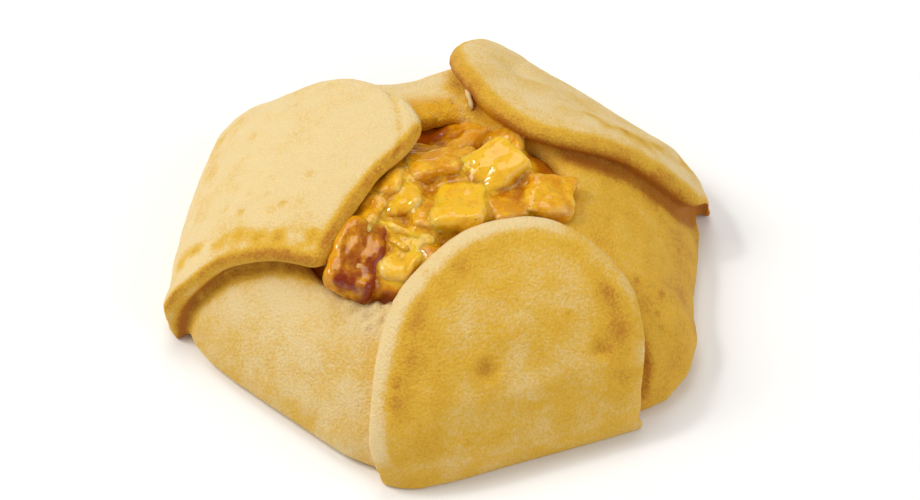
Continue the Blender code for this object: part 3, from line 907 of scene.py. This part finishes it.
class PIE_OT_syrup(bpy.types.Operator):
    """Fill the bowl with soaked fruit and let syrup round the gaps between the pieces"""

    bl_idname = "pie.syrup"
    bl_label = "Syrup"

    def execute(self, context):
        apple = bpy.data.objects["apple_pieces"]
        syrup = frame_copy("apple_filling", "amber_syrup")
        self.raise_bed(syrup)
        pieces = bpy.data.objects.new("pieces", apple.data.copy())
        bpy.context.scene.collection.objects.link(pieces)
        deselect()
        pieces.select_set(True)
        syrup.select_set(True)
        bpy.context.view_layer.objects.active = syrup
        bpy.ops.object.join()
        apply_modifier(syrup, "REMESH", mode="VOXEL", voxel_size=SYRUP_MESHES[1])
        self.grow(syrup, *SYRUP_GROWTH)
        apply_modifier(syrup, "REMESH", mode="VOXEL", voxel_size=SYRUP_MESHES[2])
        self.grow(syrup, *SYRUP_RETURN)
        self.wrinkle(syrup)
        self.dress(syrup, apple)
        activate(syrup)
        bpy.ops.object.shade_smooth()
        syrup.data.materials.clear()
        syrup.data.materials.append(
            fruit_material("amber_syrup_finish", context.scene.pie_colours, SYRUP_RELIEF))
        keep(syrup)
        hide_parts("apple_filling")
        return {"FINISHED"}

    def shade_apple(self, apple, places, cavity_shade):
        """Paint shade on the pieces towards the creases between them."""
        tree = KDTree(len(places))
        for index, place in enumerate(places):
            tree.insert(place, index)
        tree.balance()
        nearest = np.array([tree.find(place)[1] for place in positions(apple.data)])
        deep = kept(apple.data, "deep") + 0.70 * cavity_shade[nearest] - 0.1
        apple.data.attributes["deep"].data.foreach_set("value", np.clip(deep, 0.0, 1.0))

    def raise_bed(self, piece):
        """Level the frame's filling to a soft bed that meets the dough's edges."""
        apply_modifier(piece, "REMESH", mode="VOXEL", voxel_size=SYRUP_MESHES[0])
        mesh = piece.data
        pairs = edge_pairs(mesh)
        places = positions(mesh)
        middle = np.array(BED_MIDDLE) * MM
        outwards = places[:, :2] - middle
        reach = np.linalg.norm(outwards, axis=1)
        places[:, 2] = np.minimum(places[:, 2], BED_TOP - BED_FALL * (reach / BED_REACH) ** 2)
        places = smoothed(places, pairs, 12)
        upper = ramp(places[:, 2], 0.013, 0.017)
        outwards = (places[:, :2] - middle) / reach.clip(1e-4)[:, None]
        places[:, :2] += outwards * (BED_SPREAD * upper)[:, None]
        places[:, 2] += BED_RISE * upper * ramp(reach, 0.010, 0.016)
        self.flood(places, upper)
        for row in HOLLOWS:
            places[:, 2] -= row[4] * MM * np.exp(-near(places, row) ** 2) * upper
        move_to(mesh, places)

    def flood(self, places, upper):
        """Raise the bed to the level of the pool at the front."""
        across, along, high, radius = POOL
        away = np.linalg.norm(places[:, :2] / MM - np.array((across, along)), axis=1)
        level = (high - 0.9 * ramp(away, radius - 0.6, radius + 1.4)) * MM
        flooded = (upper > 0.0) & (away < radius + 2.0) & (places[:, 2] > 0.0150)
        places[:, 2] = np.where(flooded, np.maximum(places[:, 2], level), places[:, 2])

    def wrinkle(self, piece):
        """Crease the cooked fruit's skin; the pool between the pieces stays smooth."""
        mesh = piece.data
        places = positions(mesh)
        away = np.linalg.norm(places / MM - np.array(POOL[:3]), axis=1)
        push = 0.00014 * cloud(places, 0.0026, 15) + 0.00010 * np.abs(cloud(places, 0.0012, 16))
        push -= 0.00012 * ramp(cloud(places, 0.0017, 17), 0.15, 0.6)
        push *= ramp(away, POOL[3], POOL[3] + 2.0) * ramp(places[:, 2], 0.014, 0.018)
        move_to(mesh, places + normals(mesh) * push[:, None])

    def grow(self, piece, step, rounds):
        """Move the surface outwards or back, then smooth it."""
        mesh = piece.data
        pairs = edge_pairs(mesh)
        places = positions(mesh) + smoothed(normals(mesh), pairs, 2) * step
        move_to(mesh, smoothed(places, pairs, rounds))

    def dress(self, piece, apple):
        """Ripeness and charring from the nearest apple; deeper where syrup is thick; painted shade in
        creases and hollows.
        """
        lump = bmesh.new()
        lump.from_mesh(apple.data)
        lump.faces.ensure_lookup_table()
        tree = BVHTree.FromBMesh(lump)
        ripe = kept(apple.data, "ripe")
        char_and_shade = kept(apple.data, "char_and_shade")
        mesh = piece.data
        places = positions(mesh)
        found = [tree.find_nearest(place) for place in places]
        first = np.array([lump.faces[hit[2]].verts[0].index for hit in found])
        gap = np.array([hit[3] for hit in found]) / MM
        lump.free()
        pairs = edge_pairs(mesh)
        outward = smoothed(normals(mesh), pairs, 4)
        sunk = np.sum((smoothed(places, pairs, 90) - places) * outward, axis=1) / MM
        # Painted shade in the creases and hollows of the syrup
        cavity_shade = smoothed(ramp(sunk, -0.05, 0.42), pairs, 4)
        for row in HOLLOWS:
            cavity_shade = np.maximum(cavity_shade, 1.0 - ramp(near(places, row), 0.5, 1.1))
        deep = 0.15 + 0.55 * ramp(gap, 0.3, 1.8) + 0.45 * cavity_shade + 0.12 * cloud(places, 0.003, 13)
        self.shade_apple(apple, places, cavity_shade)
        fade = 1.0 - ramp(gap, 0.2, 1.4)
        store(mesh, "ripe", smoothed(ripe[first] * fade + (1.0 - fade), pairs, 3))
        store(mesh, "char_and_shade", smoothed(char_and_shade[first] * fade * 0.7, pairs, 3))
        store(mesh, "deep", smoothed(deep, pairs, 3))
        store(mesh, "pale", np.zeros(len(places)))


def filling_tree():
    """The shown filling as a tree for finding places on it."""
    joined = bmesh.new()
    for name in ("apple_pieces", "amber_syrup"):
        joined.from_mesh(bpy.data.objects[name].data)
    tree = BVHTree.FromBMesh(joined)
    joined.free()
    return tree


def scatter(name, tree, draw, count, middle, spread, size, flatness, sink):
    """Small lumps dropped on a surface, joined into one piece."""
    mesh = bmesh.new()
    made = 0
    for _ in range(count * 6):
        if made == count:
            break
        angle = draw.uniform(0.0, math.tau)
        reach = math.sqrt(draw.random())
        start = Vector((
            (middle[0] + spread[0] * reach * math.cos(angle)) * MM,
            (middle[1] + spread[1] * reach * math.sin(angle)) * MM,
            0.05,
        ))
        hit, facing, _, _ = tree.ray_cast(start, Vector((0.0, 0.0, -1.0)))
        if hit is None or hit.z < 0.014:
            continue
        radius = draw.uniform(size[0], size[1]) * MM
        turn = facing.to_track_quat("Z", "Y").to_matrix().to_4x4()
        spin = Matrix.Rotation(draw.uniform(0.0, math.tau), 4, "Z")
        squash = Matrix.Diagonal((1.0, draw.uniform(0.55, 1.0), flatness, 1.0))
        place = Matrix.Translation(hit - facing * radius * sink)
        made_now = bmesh.ops.create_icosphere(
            mesh, subdivisions=1, radius=radius, matrix=place @ turn @ spin @ squash)
        for vert in made_now["verts"]:
            vert.co += facing * radius * 0.25 * noise.noise(vert.co / (radius * 1.3))
        made += 1
    data = bpy.data.meshes.new(name)
    mesh.to_mesh(data)
    mesh.free()
    piece = bpy.data.objects.new(name, data)
    bpy.context.scene.collection.objects.link(piece)
    activate(piece)
    bpy.ops.object.shade_smooth()
    return piece


class PIE_OT_specks(bpy.types.Operator):
    """Scatter cinnamon specks on the filling"""

    bl_idname = "pie.specks"
    bl_label = "Cinnamon specks"

    def execute(self, context):
        tree = filling_tree()
        sizes = context.scene.pie_sizes
        specks = scatter("cinnamon_specks", tree, random.Random(11), sizes.specks,
                         SPECK_MIDDLE, SPECK_REACH, SPECK_RADIUS, *SPECK_SHAPE)
        specks.data.materials.append(plain_material("cinnamon_finish", CINNAMON, 0.35, 900.0, 0.4))
        keep(specks)
        return {"FINISHED"}


class PIE_OT_crumbs(bpy.types.Operator):
    """Crumble the torn edges and hang the curl of dough"""

    bl_idname = "pie.crumbs"
    bl_label = "Crumbs and curl"

    def execute(self, context):
        colours = context.scene.pie_colours
        dough = bpy.data.objects["dough"]
        lump = bmesh.new()
        lump.from_mesh(dough.data)
        tree = BVHTree.FromBMesh(lump)
        lump.free()
        count = context.scene.pie_sizes.crumbs // (2 * len(TORN))
        pale = tinted(colours.cream, 0.97, 0.90, 0.8)
        finish = plain_material("crumb_finish", pale, 0.6, 700.0, 0.25)
        for index, (across, along, _, radius) in enumerate(TORN):
            spread = (radius * CRUMB_REACH, radius * CRUMB_REACH)
            piece = scatter(f"crumbs_{index}", tree, random.Random(70 + index), count,
                            (across, along), spread, CRUMB_RADIUS, *CRUMB_SHAPE)
            piece.data.materials.append(finish)
            keep(piece)
        for name, line, thick in STRANDS:
            piece = self.strip(name, line, thick)
            piece.data.materials.append(finish)
            keep(piece)
        return {"FINISHED"}

    def strip(self, name, line, thick):
        """A soft, uneven strand along a line."""
        curve = bpy.data.curves.new(name, "CURVE")
        curve.dimensions = "3D"
        curve.bevel_depth = thick * MM
        curve.bevel_resolution = 4
        curve.use_fill_caps = True
        spline = curve.splines.new("BEZIER")
        spline.bezier_points.add(len(line) - 1)
        for index, (point, place) in enumerate(zip(spline.bezier_points, line)):
            point.co = Vector(place) * MM
            point.handle_left_type = point.handle_right_type = "AUTO"
            end = index in (0, len(line) - 1)
            point.radius = 0.55 if end else 1.0
        holder = bpy.data.objects.new(name, curve)
        bpy.context.scene.collection.objects.link(holder)
        activate(holder)
        bpy.ops.object.convert(target="MESH")
        piece = bpy.context.object
        apply_modifier(piece, "WELD", merge_threshold=0.00002)
        apply_modifier(piece, "REMESH", mode="VOXEL", voxel_size=0.00022)
        mesh = piece.data
        places = smoothed(positions(mesh), edge_pairs(mesh), 3)
        move_to(mesh, places)
        push = 0.00018 * cloud(places, 0.0011, 60)
        move_to(mesh, places + normals(mesh) * push[:, None])
        activate(piece)
        bpy.ops.object.shade_smooth()
        return piece


def direction(plan, rise):
    """Unit vector from the pie at a plan angle and a rise in degrees."""
    plan, rise = math.radians(plan), math.radians(rise)
    return Vector((math.cos(plan) * math.cos(rise), math.sin(plan) * math.cos(rise), math.sin(rise)))


class PIE_OT_stage(bpy.types.Operator):
    """Set the pale floor, the soft lights and the camera"""

    bl_idname = "pie.stage"
    bl_label = "Stage"

    def execute(self, context):
        scene = context.scene
        deselect()
        bpy.ops.mesh.primitive_plane_add(size=6.0, location=(0.0, 0.0, -0.00005))
        floor = context.object
        floor.name = "floor"
        made, tree, shader = new_material("floor_finish", 0.9)
        shader.inputs["Base Color"].default_value = (FLOOR_GREY, FLOOR_GREY, FLOOR_GREY, 1.0)
        shader.inputs["Specular IOR Level"].default_value = 0.1
        floor.data.materials.append(made)
        for row in LAMPS:
            self.lamp(*row)
        world = bpy.data.worlds.new("studio")
        world.use_nodes = True
        sky = world.node_tree.nodes["Background"]
        sky.inputs["Color"].default_value = (1.0, 1.0, 1.0, 1.0)
        sky.inputs["Strength"].default_value = SKY_STRENGTH
        scene.world = world
        scene.view_settings.view_transform = "Standard"
        self.camera(scene)
        return {"FINISHED"}

    def lamp(self, name, plan, rise, reach, size, power, colour):
        """A square soft light aimed at the pie."""
        data = bpy.data.lights.new(name, "AREA")
        data.size = size
        data.energy = power
        data.color = colour
        lamp = bpy.data.objects.new(name, data)
        bpy.context.scene.collection.objects.link(lamp)
        away = direction(plan, rise)
        lamp.location = away * reach
        lamp.rotation_euler = away.to_track_quat("Z", "Y").to_euler()

    def camera(self, scene):
        """The photograph's view."""
        data = bpy.data.cameras.new("photo_view")
        data.sensor_width = SENSOR
        data.lens = FOCAL_PIXELS / PICTURE[0] * SENSOR
        data.shift_x = (PICTURE[0] / 2 - PIE_MIDDLE[0]) / PICTURE[0]
        data.shift_y = (PIE_MIDDLE[1] - PICTURE[1] / 2) / PICTURE[0]
        data.clip_start = 0.01
        camera = bpy.data.objects.new("photo_view", data)
        scene.collection.objects.link(camera)
        away = direction(CAMERA_PLAN, CAMERA_RISE)
        camera.location = away * CAMERA_REACH
        camera.rotation_euler = away.to_track_quat("Z", "Y").to_euler()
        scene.camera = camera


class PIE_PT_panel(bpy.types.Panel):
    """Steps and settings of the pie"""

    bl_label = "Mini Apple Pie"
    bl_idname = "PIE_PT_panel"
    bl_space_type = "VIEW_3D"
    bl_region_type = "UI"
    bl_category = "Apple Pie"

    def draw(self, context):
        for group in (context.scene.pie_sizes, context.scene.pie_colours):
            for name in group.__annotations__:
                self.layout.prop(group, name)
        for step in STEPS:
            self.layout.operator(step.bl_idname)


STEPS = (PIE_OT_dough, PIE_OT_apple, PIE_OT_syrup, PIE_OT_specks, PIE_OT_crumbs, PIE_OT_stage)
CLASSES = (PieSizes, PieColours, *STEPS, PIE_PT_panel)


def register():
    for made in CLASSES:
        bpy.utils.register_class(made)
    bpy.types.Scene.pie_sizes = PointerProperty(type=PieSizes)
    bpy.types.Scene.pie_colours = PointerProperty(type=PieColours)


def unregister():
    del bpy.types.Scene.pie_sizes
    del bpy.types.Scene.pie_colours
    for made in reversed(CLASSES):
        bpy.utils.unregister_class(made)


def main():
    register()
    bpy.ops.pie.dough()
    bpy.ops.pie.apple()
    bpy.ops.pie.syrup()
    bpy.ops.pie.specks()
    bpy.ops.pie.crumbs()
    bpy.ops.pie.stage()


if __name__ == "__main__":
    main()
